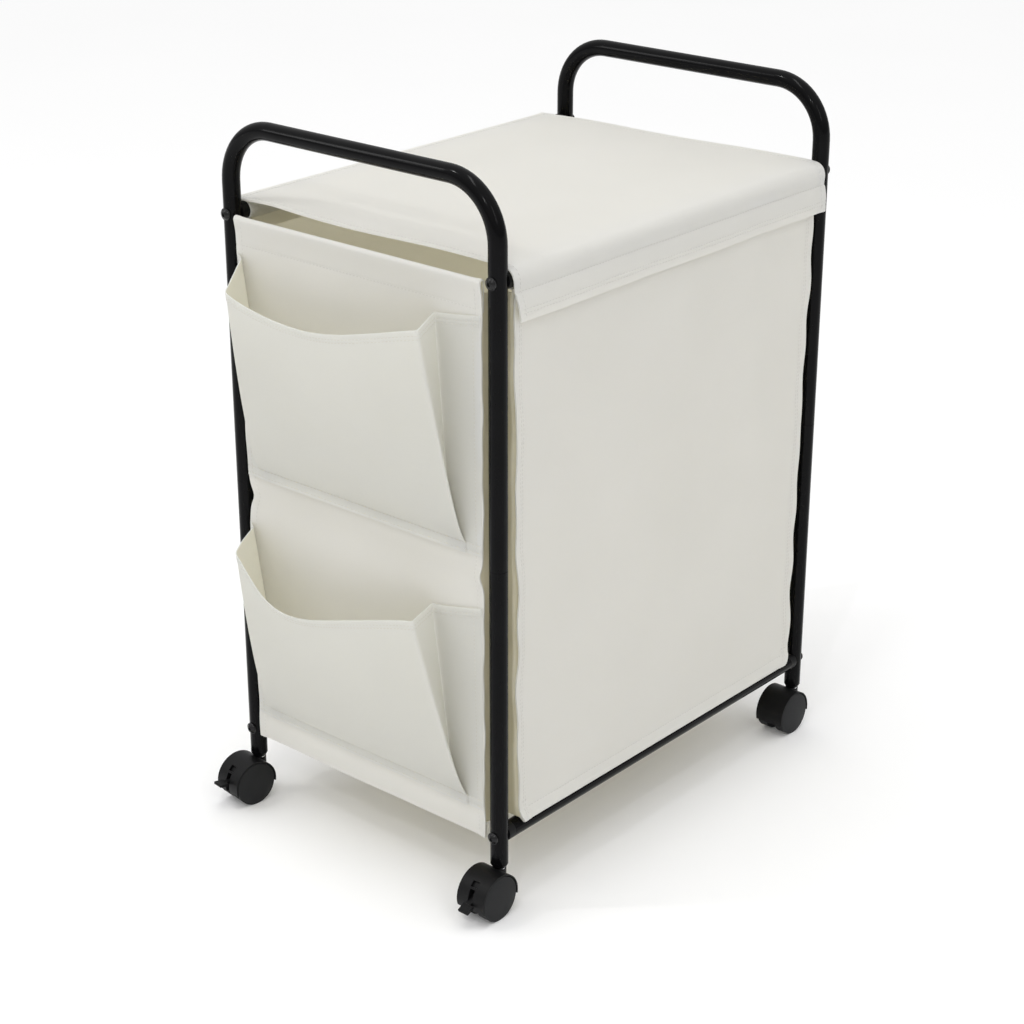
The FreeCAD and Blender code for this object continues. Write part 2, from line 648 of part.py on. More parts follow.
def bag_side(side):
    """A side wall with its rail sleeve and the two strips that pass inside the posts to the end walls."""
    name = f"bag_side_{side}"
    sign = SIDES[side]
    wall_x = span(sign, "side_out_x - cloth", "side_out_x")
    wall = box(
        f"{name}_wall",
        (wall_x[0], "-side_half", "side_low_z"),
        (wall_x[1], "side_half", "top_rail_z - side_into_sleeve"),
    )
    shapes = [wall, sleeve(f"{name}_sleeve", side)]
    for end, along in ENDS.items():
        return_x = span(sign, "corner_in_x - cloth", "side_out_x")
        return_y = span(along, "side_half - cloth", "side_half")
        strip_x = span(sign, "corner_in_x - cloth", "corner_in_x")
        strip_y = span(along, "side_half - cloth", "end_out_y - cloth - cloth_gap")
        shapes.append(box(
            f"{name}_return_{end}",
            (return_x[0], return_y[0], "side_low_z"),
            (return_x[1], return_y[1], "corner_top_z"),
        ))
        shapes.append(box(
            f"{name}_strip_{end}",
            (strip_x[0], strip_y[0], "side_low_z"),
            (strip_x[1], strip_y[1], "corner_top_z"),
        ))
    finish(fuse(name, shapes), name)


def bag_end(end):
    """An end wall with a hem rolled round its rod."""
    name = f"bag_end_{end}"
    along = ENDS[end]
    wall_y = span(along, "end_out_y - cloth", "end_out_y")
    hem_at = ("-end_half", f"{along} * (end_out_y - cloth / 2)", "end_top_z - hem_r")
    wall = box(
        f"{name}_wall",
        ("-end_half", wall_y[0], "end_low_z"),
        ("end_half", wall_y[1], "end_top_z - hem_r"),
    )
    hem = cylinder(f"{name}_hem", "X", hem_at, "hem_r", "2 * end_half")
    bore = cylinder(f"{name}_bore", "X", hem_at, "rod_r + part_gap", "2 * end_half")
    finish(cut(name, fuse(f"{name}_solid", [wall, hem]), bore), name)
    rod_at = ("-rod_half",) + hem_at[1:]
    rod = cylinder(f"hem_rod_{end}_pin", "X", rod_at, "rod_r", "2 * rod_half")
    finish(group(f"hem_rod_{end}", [rod]), f"hem_rod_{end}")


def pocket(level, low_z, tall, dip):
    """An open pocket: a front that leans out from its bottom seam, and two pleated sides."""
    name = f"pocket_{level}"
    body = doc.addObject("PartDesign::Body", name)
    back = "-(end_out_y + cloth_gap)"
    mouth = "-(end_out_y + cloth_gap + pocket_reach)"
    back_top, mouth_top = f"{low_z} + {tall}", f"{low_z} + {tall} - {dip}"
    sides = sketch_on(body, "YZ_Plane", f"{name}_outline")
    draw_outline(sides, [(back, low_z), (back, back_top), (mouth, mouth_top)])
    pad = body.newObject("PartDesign::Pad", f"{name}_pad")
    pad.Profile = sides
    pad.Midplane = True
    bind(pad, Length="2 * pocket_half")
    doc.recompute()
    hollow = sketch_on(body, "YZ_Plane", f"{name}_hollow_outline")
    # The hollow leaves one cloth thickness at the leaning front and runs out through the mouth
    # and the back.
    past_back, past_top = f"{back} + overlap", f"{back_top} + pocket_clear"
    inside_mouth = f"{mouth} + cloth + cloth_slack"
    hollow_low = f"{low_z} + pocket_seam"
    draw_outline(hollow, [
        (past_back, f"{hollow_low} - overlap"),
        (past_back, past_top),
        (inside_mouth, past_top),
        (inside_mouth, mouth_top),
        (back, hollow_low),
    ])
    cutting = body.newObject("PartDesign::Pocket", f"{name}_hollow")
    cutting.Profile = hollow
    cutting.Midplane = True
    bind(cutting, Length="2 * (pocket_half - cloth)")
    body.Tip = cutting
    doc.recompute()
    finish(body, name)


def lid():
    """The fabric lid with its flap over the right rail, and the thin board sewn under it."""
    top = box(
        "lid_top",
        ("-lid_left_x", "-lid_half_y", "lid_low_z"),
        ("lid_right_x", "lid_half_y", "lid_low_z + cloth"),
    )
    flap = box(
        "lid_flap",
        ("lid_right_x - cloth", "-lid_half_y", "flap_low_z"),
        ("lid_right_x", "lid_half_y", "lid_low_z + cloth"),
    )
    finish(fuse("lid_cover", [top, flap]), "lid_cover")
    board_top = "lid_low_z - cloth_gap"
    board = box(
        "lid_board",
        ("-stiffener_half_x", "-stiffener_half_y", f"{board_top} - stiffener_thick"),
        ("stiffener_half_x", "stiffener_half_y", board_top),
    )
    finish(group("lid_stiffener", [board]), "lid_stiffener")


def bag_floor():
    """The bag's floor over the bottom rails, notched round the posts, and the loose board on it."""
    inside_strips = "corner_in_x - cloth - cloth_gap"
    main = box(
        "floor_main",
        ("-floor_half_x", "-(side_half - cloth - cloth_gap)", "floor_low_z"),
        ("floor_half_x", "side_half - cloth - cloth_gap", "floor_low_z + cloth"),
    )
    ends = box(
        "floor_ends",
        (f"-({inside_strips})", "-(end_out_y - cloth - cloth_gap)", "floor_low_z"),
        (inside_strips, "end_out_y - cloth - cloth_gap", "floor_low_z + cloth"),
    )
    finish(fuse("bag_floor", [main, ends]), "bag_floor")
    board_low = "floor_low_z + cloth + cloth_gap"
    board = box(
        "floor_board_slab",
        ("-board_half_x", "-board_half_y", board_low),
        ("board_half_x", "board_half_y", f"{board_low} + board_thick"),
    )
    finish(group("floor_board", [board]), "floor_board")


for end in ENDS:
    hoop(end)
    bag_end(end)
for side in SIDES:
    rail(side, "top")
    rail(side, "bottom")
    bag_side(side)
for level in ("top", "bottom"):
    at_rail_ends(f"{level}_rail_plugs", level, rail_plug)
    at_rail_ends(f"{level}_screws", level, screw)
    at_rail_ends(f"{level}_washers", level, washer)
for end in ENDS:
    for side, across in SIDES.items():
        leg(side, end)
        caster_socket(side, end)
        caster_stem(side, end)
        caster_hood(side, end)
        caster_axle(side, end)
        wheel(side, end, "outer", across)
        wheel(side, end, "inner", -across)
brake_lever("right", "lever_down")
brake_lever("left", "lever_up")
bag_floor()
pocket("upper", "upper_pocket_z", "pocket_tall", "pocket_dip")
pocket("lower", "lower_pocket_z", "lower_pocket_tall", "lower_pocket_dip")
lid()

doc.recompute()

for thing in doc.Objects:
    if "Invalid" in thing.State or "Error" in thing.State:
        raise RuntimeError(f"{thing.Name} is in state {thing.State}")

os.makedirs("parts", exist_ok=True)
for thing in finished:
    shape = thing.Shape
    if shape.isNull() or not shape.isValid() or not shape.Solids:
        raise RuntimeError(f"{thing.Label} has no sound shape")
    shape.exportStep(f"parts/{thing.Label}.step")
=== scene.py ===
import json
import math

import bpy
import numpy as np
from mathutils import Euler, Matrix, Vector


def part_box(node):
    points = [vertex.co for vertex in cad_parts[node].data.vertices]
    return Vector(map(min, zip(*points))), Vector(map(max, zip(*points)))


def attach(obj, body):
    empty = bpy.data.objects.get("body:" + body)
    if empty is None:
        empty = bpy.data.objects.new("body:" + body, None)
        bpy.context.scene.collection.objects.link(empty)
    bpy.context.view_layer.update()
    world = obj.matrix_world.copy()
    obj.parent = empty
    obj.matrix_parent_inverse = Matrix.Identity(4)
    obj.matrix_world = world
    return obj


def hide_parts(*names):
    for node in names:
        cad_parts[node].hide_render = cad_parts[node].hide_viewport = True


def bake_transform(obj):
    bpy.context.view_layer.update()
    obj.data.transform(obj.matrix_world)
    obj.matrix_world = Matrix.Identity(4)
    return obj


# A laundry sorter on wheels. The tubes, screws and casters are the CAD's own nodes with finished materials.
# Every cloth part of the bag, lid and pockets is a sheet made here, with its hems, seams and stitches.
# Cloth is laid out in millimetres from the middle of the frame, with +X to the right and +Y to the rear.

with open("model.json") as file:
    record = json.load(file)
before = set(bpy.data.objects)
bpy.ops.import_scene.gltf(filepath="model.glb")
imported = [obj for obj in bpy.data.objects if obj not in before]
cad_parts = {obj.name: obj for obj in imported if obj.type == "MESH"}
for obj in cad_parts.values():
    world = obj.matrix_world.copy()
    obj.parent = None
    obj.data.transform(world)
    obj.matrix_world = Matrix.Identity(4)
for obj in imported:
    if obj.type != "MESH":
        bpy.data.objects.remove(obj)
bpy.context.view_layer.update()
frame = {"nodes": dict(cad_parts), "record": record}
nodes = frame["nodes"]
MM = 0.001


# ---- places that the CAD gives ----

def span_mm(node):
    """A CAD node's lowest and highest corners in millimetres."""
    low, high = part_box(node)
    return np.array(low) / MM, np.array(high) / MM


hoop_low, hoop_high = span_mm("hoop_front")
rear_high = span_mm("hoop_rear")[1]
TUBE_R = (hoop_high[1] - hoop_low[1]) / 2
MID = np.array([(hoop_low[0] + hoop_high[0]) / 2, (hoop_low[1] + rear_high[1]) / 2, 0])
POST_X = (hoop_high[0] - hoop_low[0]) / 2 - TUBE_R
RAIL_Z = sum(z[2] for z in span_mm("top_rail_right")) / 2
LOW_RAIL_Z = sum(z[2] for z in span_mm("bottom_rail_right")) / 2
LID_LOW, LID_HIGH = (corner - MID for corner in span_mm("lid_cover"))
END_LOW = span_mm("bag_end_front")[0] - MID
SIDE_HIGH = span_mm("bag_side_right")[1] - MID
FLOOR_HIGH = span_mm("bag_floor")[1] - MID
ROD_LOW, ROD_HIGH = (corner - MID for corner in span_mm("hem_rod_front"))
UPPER_LOW, UPPER_HIGH = (corner - MID for corner in span_mm("pocket_upper"))
LOWER_LOW, LOWER_HIGH = (corner - MID for corner in span_mm("pocket_lower"))
CLOTH = 1.2
WALL_X = 189.0


# ---- materials ----

def new_material(name, rough, **sockets):
    made = bpy.data.materials.new(name)
    made.use_nodes = True
    shader = made.node_tree.nodes["Principled BSDF"]
    shader.inputs["Roughness"].default_value = rough
    for socket, value in sockets.items():
        shader.inputs[socket.replace("_", " ")].default_value = value
    return made, made.node_tree, shader


def add_node(tree, kind, settings=(), **inputs):
    made = tree.nodes.new(kind)
    for attribute, value in dict(settings).items():
        setattr(made, attribute, value)
    for socket, value in inputs.items():
        target = made.inputs[socket.replace("_", " ")]
        if isinstance(value, bpy.types.NodeSocket):
            tree.links.new(value, target)
        else:
            target.default_value = value
    return made


def ramp(tree, factor, low, high, start=0.0, end=1.0):
    made = add_node(tree, "ShaderNodeValToRGB", Fac=factor)
    first, last = made.color_ramp.elements
    first.position, first.color = start, (*low, 1)
    last.position, last.color = end, (*high, 1)
    return made.outputs["Color"]


def number_range(tree, factor, low, high):
    made = add_node(tree, "ShaderNodeMapRange", Value=factor, To_Min=low, To_Max=high)
    return made.outputs["Result"]


def bump(tree, height, distance, strength=1.0, under=None):
    made = add_node(tree, "ShaderNodeBump", Height=height, Distance=distance, Strength=strength)
    if under is not None:
        tree.links.new(under, made.inputs["Normal"])
    return made.outputs["Normal"]


def noise(tree, place, scale, detail=3.0):
    made = add_node(tree, "ShaderNodeTexNoise", Vector=place, Scale=scale, Detail=detail)
    return made.outputs["Fac"]


def hard_material(name, low, high, rough_low, rough_high, grain, grain_height, **sockets):
    """A painted, moulded or plated finish, with a fine grain. Its colour and gloss vary a little."""
    made, tree, shader = new_material(name, rough_low, **sockets)
    place = tree.nodes.new("ShaderNodeTexCoord").outputs["Object"]
    clouds = noise(tree, place, 28.0)
    tree.links.new(ramp(tree, clouds, low, high, 0.3, 0.7), shader.inputs["Base Color"])
    tree.links.new(number_range(tree, clouds, rough_low, rough_high), shader.inputs["Roughness"])
    tree.links.new(bump(tree, noise(tree, place, grain, 2.0), grain_height), shader.inputs["Normal"])
    return made


def woven_material(
    name, low, high, glow=None, share=0.38, thread=0.62, height=0.00016, **sockets
):
    """A plain weave laid along the cloth's own two directions, with slubs, faint clouding and soft creases.
    glow is the colour of the light that comes through the cloth, and share how much of it does."""
    made, tree, shader = new_material(name, 0.86, **sockets)
    place = add_node(tree, "ShaderNodeUVMap", {"uv_map": "cloth"}).outputs["UV"]
    uneven = noise(tree, place, 9.0, 4.0)
    slubs = noise(tree, place, 420.0, 2.0)
    bands = 2 * math.pi / (thread * 2 * MM) / 20
    threads = [
        add_node(
            tree,
            "ShaderNodeTexWave",
            {"bands_direction": way, "wave_profile": "SIN"},
            Vector=place,
            Scale=bands,
            Distortion=0.6,
            Detail=1.0,
            Detail_Scale=2.0,
        ).outputs["Fac"]
        for way in ("X", "Y")
    ]
    weave = tree.nodes.new("ShaderNodeMath")
    weave.operation = "MULTIPLY"
    for socket, source in zip(weave.inputs, threads):
        tree.links.new(source, socket)
    tone = add_node(tree, "ShaderNodeMix", {"data_type": "FLOAT"})
    tone.inputs[0].default_value = 0.35
    tree.links.new(uneven, tone.inputs[2])
    tree.links.new(slubs, tone.inputs[3])
    tree.links.new(ramp(tree, tone.outputs[0], low, high, 0.3, 0.7), shader.inputs["Base Color"])
    tree.links.new(number_range(tree, slubs, 0.78, 0.95), shader.inputs["Roughness"])
    creases = bump(tree, uneven, 0.0012, 0.6)
    tree.links.new(
        bump(tree, weave.outputs[0], height, 0.8, under=creases), shader.inputs["Normal"]
    )
    if glow is not None:
        through = add_node(tree, "ShaderNodeBsdfTranslucent", Color=(*glow, 1))
        mixed = add_node(tree, "ShaderNodeMixShader", Fac=share)
        tree.links.new(shader.outputs[0], mixed.inputs[1])
        tree.links.new(through.outputs[0], mixed.inputs[2])
        tree.links.new(mixed.outputs[0], tree.nodes["Material Output"].inputs["Surface"])
    return made


materials = {
    "powder_coat": hard_material(
        "powder_coat", (0.002, 0.002, 0.0022), (0.0035, 0.0035, 0.004), 0.12, 0.16, 900.0, 0.00001,
        Specular_IOR_Level=0.095,
    ),
    "black_plastic": hard_material(
        "black_plastic", (0.004, 0.004, 0.0043), (0.007, 0.007, 0.0075), 0.38, 0.48, 1800.0, 0.00003,
        Specular_IOR_Level=0.16,
    ),
    "wheel_plastic": hard_material(
        "wheel_plastic", (0.010, 0.0105, 0.0112), (0.016, 0.0165, 0.0175), 0.5, 0.62, 1400.0, 0.00004,
        Specular_IOR_Level=0.2,
    ),
    "screw_black": hard_material(
        "screw_black", (0.006, 0.006, 0.0063), (0.01, 0.01, 0.0105), 0.18, 0.26, 1600.0, 0.00001,
        Specular_IOR_Level=0.3,
    ),
    "zinc_steel": hard_material(
        "zinc_steel", (0.62, 0.63, 0.65), (0.76, 0.77, 0.78), 0.2, 0.32, 1200.0, 0.00002, Metallic=1.0
    ),
    "hem_rod_steel": hard_material(
        "hem_rod_steel", (0.42, 0.42, 0.43), (0.55, 0.55, 0.56), 0.3, 0.42, 1200.0, 0.00002, Metallic=1.0
    ),
    "board": hard_material(
        "board", (0.74, 0.71, 0.61), (0.77, 0.74, 0.64), 0.62, 0.7, 700.0, 0.00006
    ),
}
IVORY = woven_material(
    "ivory_fabric", (0.90, 0.90, 0.885), (0.935, 0.935, 0.925), glow=(0.93, 0.915, 0.85), Sheen_Weight=0.1
)
# The cloth's inner face: ivory cloth tinted tan as painted shade, for the warm dim light inside the bag and
# behind the posts.
SHADE_TINTED_INNER_CLOTH = woven_material(
    "ivory_inner_painted_shade", (0.83, 0.81, 0.70), (0.88, 0.86, 0.75), glow=(0.94, 0.91, 0.79), share=0.6
)
# A darker copy of the ivory cloth for the pockets: painted shade, so that the pocket fronts look as dim as
# the end wall around them.
POCKET_CLOTH_PAINTED_SHADE = woven_material(
    "pocket_fabric_painted_shade", (0.87, 0.873, 0.865), (0.905, 0.908, 0.9), glow=(0.885, 0.895, 0.885), share=0.5
)
THREAD = woven_material(
    "ivory_thread", (0.78, 0.77, 0.73), (0.88, 0.87, 0.84), thread=0.2, height=0.00005
)

for subpart in frame["record"]["subparts"]:
    cad_mesh = nodes[subpart["node"]].data
    cad_mesh.materials.clear()
    cad_mesh.materials.append(materials.get(subpart["material_slot"], IVORY))


# ---- cloth ----

MARK_OFFSETS = (-3.0, -1.6, -0.8, 0.0, 0.8, 1.6, 3.0)
LEAST_STEP = 0.35


def positions(total, step, marks=()):
    """Places from 0 to total, a step apart, and closer together on both sides of each mark."""
    found = set(np.linspace(0, total, max(2, round(total / step) + 1)).round(3))
    for mark in marks:
        found |= {round(mark + offset, 3) for offset in MARK_OFFSETS}
    kept = [0.0]
    for value in sorted(found):
        if LEAST_STEP < value - kept[-1] and value < total - LEAST_STEP:
            kept.append(value)
    return np.array(kept + [total])


def rounded_line(points, rounds=3):
    """A polyline with its corners cut again and again, so that it turns smoothly."""
    line = np.array(points, float)
    for _ in range(rounds):
        near, far = 0.75 * line[:-1] + 0.25 * line[1:], 0.25 * line[:-1] + 0.75 * line[1:]
        inner = np.empty((2 * len(near), line.shape[1]))
        inner[0::2], inner[1::2] = near, far
        line = np.vstack([line[:1], inner, line[-1:]])
    return line


def run(line):
    """How far along a polyline each of its points is."""
    steps = np.linalg.norm(np.diff(line, axis=0), axis=1)
    return np.concatenate([[0], np.cumsum(steps)])


def on_line(line, at):
    """The points of a polyline at these distances along it."""
    along = run(line)
    return [np.interp(at, along, line[:, axis]) for axis in range(line.shape[1])]


RIPPLE_WAVES = 9


def ripple(s, t, size, seed):
    """A smooth uneven surface between about -1 and 1, with waves about as long as size."""
    chance = np.random.RandomState(seed)
    total = np.zeros(np.broadcast(s, t).shape)
    for _ in range(RIPPLE_WAVES):
        angle, phase = chance.uniform(0, 2 * math.pi, 2)
        wave = 2 * math.pi / (size * chance.uniform(0.7, 1.8))
        total += np.sin(wave * (s * math.cos(angle) + t * math.sin(angle)) + phase)
    return total / 4.0


def bell(value, middle, width):
    """1 at the middle, and falling smoothly to 0 on both sides."""
    return np.exp(-(((value - middle) / width) ** 2))


def step_up(value, edge, width=0.8):
    """0 before the edge and 1 after it."""
    return 1 / (1 + np.exp(-np.clip((value - edge) / (width / 4), -40, 40)))


SHARP_ANGLE = math.radians(50)


class Sheet:
    """A sheet of cloth over a grid: s runs across the cut and t down it, both in millimetres."""

    def __init__(self, name, across, down, shape, relief=None, flip=False, thick=CLOTH):
        self.name, self.across, self.down, self.thick = name, across, down, thick
        s, t = np.meshgrid(across, down)
        self.s, self.t = s, t
        middle = np.stack(shape(s, t), axis=-1)
        along_s = np.gradient(middle, axis=1)
        along_t = np.gradient(middle, axis=0)
        normal = np.cross(along_t, along_s)
        normal /= np.maximum(np.linalg.norm(normal, axis=-1, keepdims=True), 1e-9)
        self.normal = -normal if flip else normal
        height = relief(s, t) if relief else np.zeros_like(s)
        self.top = middle + self.normal * height[..., None]
        self.under = middle - self.normal * thick
        self.flip = flip

    def build(self, body=None, outer=IVORY, inner=SHADE_TINTED_INNER_CLOTH):
        """The sheet as a closed mesh that rides a body, with the outer material on the side that it faces."""
        rows, columns = self.s.shape
        count = rows * columns
        verts = np.vstack([self.top.reshape(-1, 3), self.under.reshape(-1, 3)])
        verts = (verts + MID) * MM
        index = np.arange(count).reshape(rows, columns)
        quads = np.stack(
            [index[:-1, :-1], index[1:, :-1], index[1:, 1:], index[:-1, 1:]], axis=-1
        ).reshape(-1, 4)
        border = np.concatenate(
            [index[0, :-1], index[:-1, -1], index[-1, :0:-1], index[:0:-1, 0]]
        )
        after = np.roll(border, -1)
        rim = np.stack([border, after, after + count, border + count], axis=-1)
        faces = np.vstack([quads, quads[:, ::-1] + count, rim])
        if self.flip:
            faces = faces[:, ::-1]
        mesh = bpy.data.meshes.new(self.name)
        mesh.from_pydata(verts.tolist(), [], faces.tolist())
        uv = np.stack([self.s.ravel(), self.t.ravel()], axis=-1) * MM
        uv = np.vstack([uv, uv])
        loops = np.empty(len(mesh.loops), int)
        mesh.loops.foreach_get("vertex_index", loops)
        mesh.uv_layers.new(name="cloth").data.foreach_set("uv", uv[loops].ravel())
        mesh.materials.append(outer)
        mesh.materials.append(inner)
        slots = np.zeros(len(faces), int)
        slots[len(quads) : 2 * len(quads)] = 1
        mesh.polygons.foreach_set("material_index", slots)
        mesh.polygons.foreach_set("use_smooth", np.ones(len(faces), bool))
        mesh.update()
        mesh.set_sharp_from_angle(angle=SHARP_ANGLE)
        made = bpy.data.objects.new(self.name, mesh)
        bpy.context.scene.collection.objects.link(made)
        if body:
            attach(made, body)
        return made

    def at(self, s, t):
        """Points of the surface and the directions that it faces there."""
        last_column, last_row = len(self.across) - 1.001, len(self.down) - 1.001
        column = np.clip(np.interp(s, self.across, np.arange(len(self.across))), 0, last_column)
        row = np.clip(np.interp(t, self.down, np.arange(len(self.down))), 0, last_row)
        i, j = row.astype(int), column.astype(int)
        a, b = (row - i)[:, None], (column - j)[:, None]

        def mixed(grid):
            return (
                grid[i, j] * (1 - a) * (1 - b)
                + grid[i + 1, j] * a * (1 - b)
                + grid[i, j + 1] * (1 - a) * b
                + grid[i + 1, j + 1] * a * b
            )

        facing = mixed(self.normal)
        facing /= np.linalg.norm(facing, axis=1, keepdims=True)
        return mixed(self.top), facing


STITCH, STITCH_GAP = 3.1, 1.5
STITCH_R, STITCH_HEIGHT, STITCH_LIFT = 0.42, 0.7, 0.12
STITCH_SIDES = 6
# Where a stitch's rings are along it, as a share of its length, and how thick it is there.
STITCH_RINGS = ((-0.5, 0.15), (-0.36, 0.85), (0.0, 1.0), (0.36, 0.85), (0.5, 0.15))


def stitches(name, body, sheet, lines):
    """Rows of stitches on a sheet. Each line is the (s, t) places that its row runs through."""
    around = np.linspace(0, 2 * math.pi, STITCH_SIDES + 1)[:-1]
    verts, faces = [], []
    for line in lines:
        line = np.array(line, float)
        total = run(line)[-1]
        count = int(total // (STITCH + STITCH_GAP))
        middles = (np.arange(count) + 0.5) * total / max(count, 1)
        here, facing = sheet.at(*on_line(line, middles))
        ahead = sheet.at(*on_line(line, np.minimum(middles + 0.5, total)))[0]
        behind = sheet.at(*on_line(line, np.maximum(middles - 0.5, 0)))[0]
        way = ahead - behind
        way /= np.maximum(np.linalg.norm(way, axis=1, keepdims=True), 1e-9)
        aside = np.cross(way, facing)
        for point, forward, side, up in zip(here, way, aside, facing):
            first = len(verts)
            for place, size in STITCH_RINGS:
                middle = point + forward * place * STITCH + up * STITCH_LIFT * size
                for angle in around:
                    verts.append(
                        middle
                        + side * math.cos(angle) * STITCH_R * size
                        + up * math.sin(angle) * STITCH_R * STITCH_HEIGHT * size
                    )
            last = first + (len(STITCH_RINGS) - 1) * STITCH_SIDES
            for ring in range(first, last, STITCH_SIDES):
                for k in range(STITCH_SIDES):
                    a, b = ring + k, ring + (k + 1) % STITCH_SIDES
                    faces.append((a, b, b + STITCH_SIDES, a + STITCH_SIDES))
            faces.append(tuple(first + k for k in reversed(range(STITCH_SIDES))))
            faces.append(tuple(last + k for k in range(STITCH_SIDES)))
    mesh = bpy.data.meshes.new(name)
    mesh.from_pydata(((np.array(verts) + MID) * MM).tolist(), [], faces)
    mesh.uv_layers.new(name="cloth")
    mesh.materials.append(THREAD)
    mesh.polygons.foreach_set("use_smooth", np.ones(len(faces), bool))
    mesh.update()
    made = bpy.data.objects.new(name, mesh)
    bpy.context.scene.collection.objects.link(made)
    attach(made, body)
    return made


def groove(value, at, depth=0.35, width=1.1):
    """The furrow that a row of stitches pulls into the cloth."""
    return -depth * bell(value, at, width)


# ---- side walls ----

WALL_NEAR_TOP, WALL_NEAR_LOW = -253.0, -246.0
WALL_FAR_TOP, WALL_FAR_LOW = 247.0, 243.0
WALL_SEEDS = {"right": 3, "left": 8}
SLEEVE_R = TUBE_R + 1.4
LIP = 6.0
WALL_STITCHES = (LIP + 1.5, LIP + 4.5)
WALL_HEM_Z, TACK_Z, TACK_HALF = 108, 116, 5
WALL_STITCH_TOP_Z, WALL_STITCH_LOW_Z = 664, 97


def wall_path():
    """The cloth's way in the X-Z plane: from the seam under the rail, round it, down, and to the low rail."""
    turns = np.radians([-62, -90, -125, -160, -195, -230, -265, -290, -320, -350])
    loop = [(POST_X + SLEEVE_R * math.cos(a), RAIL_Z + SLEEVE_R * math.sin(a)) for a in turns]
    under_turns = np.radians([38, 50, 65, 80])
    low_r = TUBE_R + 1.5
    under = [(POST_X + low_r * math.cos(a), LOW_RAIL_Z + low_r * math.sin(a)) for a in under_turns]
    return rounded_line(
        [(186.2, RAIL_Z - 27), (186.2, RAIL_Z - 15)]
        + loop
        + [(191.4, 679), (189.6, 668), (WALL_X, 655), (WALL_X - 0.3, 500), (WALL_X - 0.5, 300)]
        + [(188.2, 130), (188.6, 114), (190.6, 105), (192.6, 99), (193.0, 95.6), (192.0, 93.6)]
        + under
        + [(176.0, LOW_RAIL_Z + low_r)]
    )


WALL_LINE = wall_path()
WALL_RUN = run(WALL_LINE)
WALL_DOWN = WALL_RUN[-1]
WALL_ACROSS = 500.0


def wall_t(z):
    """Where on the wall's cut its outer face passes the height z."""
    below = np.flatnonzero((WALL_RUN > 90) & (WALL_RUN < WALL_DOWN - 20))
    heights = WALL_LINE[below, 1]
    return float(np.interp(-z, -heights, WALL_RUN[below]))


def wall_edges(t, seed):
    """The front and rear edges of a side wall at each height: they draw in towards the floor, and waver."""
    low = np.clip((t - wall_t(640)) / (wall_t(105) - wall_t(640)), 0, 1)
    hanging = step_up(t, wall_t(660), 30)
    waver = 0.9 * np.sin(t / 13.0 + seed) + 0.8 * np.sin(t / 29.0 + 2 * seed)
    near = WALL_NEAR_TOP + (WALL_NEAR_LOW - WALL_NEAR_TOP) * low**1.3 + waver * hanging
    far = WALL_FAR_TOP + (WALL_FAR_LOW - WALL_FAR_TOP) * low - np.roll(waver, 3, axis=0) * hanging
    corner = np.clip((t - wall_t(112)) / (WALL_DOWN - 18 - wall_t(112)), 0, 1)
    return near + 7 * corner**2.5, far - 9 * corner**2.5


def wall_shape(sign, seed):
    def shape(s, t):
        x, z = on_line(WALL_LINE, t)
        near, far = wall_edges(t, seed)
        y = near + (far - near) * s / WALL_ACROSS
        hanging = step_up(t, wall_t(640), 60) * (1 - step_up(t, wall_t(112), 20))
        waves = 1.1 * ripple(s, t, 210, seed) + 0.5 * ripple(s, t * 0.6, 80, seed + 5)
        fold = 2.4 * bell(s, 385 + (t - 150) * 0.12, 26) * bell(t, 260, 170)
        lip = 1.6 * (bell(s, 0, LIP) + bell(s, WALL_ACROSS, LIP))
        lip = lip * (1 + 0.5 * np.sin(t / 11.0 + seed))
        x = x + hanging * (waves + fold + lip)
        return sign * x, y, z

    return shape


def wall_relief(s, t):
    hem_t = wall_t(WALL_HEM_Z)
    edge = np.minimum(s, WALL_ACROSS - s)
    total = groove(t, hem_t) + 0.5 * step_up(t, hem_t) * (1 - step_up(t, hem_t + 24, 2))
    total = total + 0.6 * (1 - step_up(edge, WALL_STITCHES[1] + 1))
    for place in WALL_STITCHES:
        total = total + groove(edge, place)
    return total


def side_wall(side, sign):
    seed = WALL_SEEDS[side]
    marks = [*WALL_STITCHES, *(WALL_ACROSS - m for m in WALL_STITCHES)]
    hem_t, tack_t = wall_t(WALL_HEM_Z), wall_t(TACK_Z)
    across = positions(WALL_ACROSS, 5.0, marks)
    down = positions(WALL_DOWN, 5.0, [hem_t])
    sleeve, curl = np.arange(0, 105, 2.0), WALL_DOWN - np.arange(0, 45, 2.0)
    down = np.unique(np.concatenate([down[down > 105], sleeve, curl]).round(3))
    sheet = Sheet(f"bag_wall_{side}", across, down, wall_shape(sign, seed), wall_relief, flip=sign < 0)
    wall = sheet.build("frame")
    top, bottom = wall_t(WALL_STITCH_TOP_Z), wall_t(WALL_STITCH_LOW_Z)
    lines = [[(m, top), (m, bottom - 3)] for m in marks]
    lines += [[(14, hem_t), (WALL_ACROSS - 14, hem_t)]]
    rows = stitches(f"wall_stitches_{side}", "frame", sheet, lines)
    ends = [
        [(s - TACK_HALF, tack_t + k * 0.5), (s + TACK_HALF, tack_t + k * 0.5)]
        for s in (marks[0] + 1.5, WALL_ACROSS - marks[0] - 1.5)
        for k in (-1, 0, 1)
    ]
    tacks = stitches(f"wall_tacks_{side}", "frame", sheet, ends)
    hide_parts(f"bag_side_{side}")


STRIP_TOP_Z = SIDE_HIGH[2] - 24
STRIP_X, STRIP_DEPTH, STRIP_CLOTH = 187.2, 27.0, 0.9
END_INNER_Y = -END_LOW[1] - CLOTH - 0.3


def end_pinch(z):
    """How far the front end wall's edges are drawn in under the upper pocket's seam."""
    return 4.2 * bell(z, 378, 9) + 1.3 * bell(z, 395, 30)


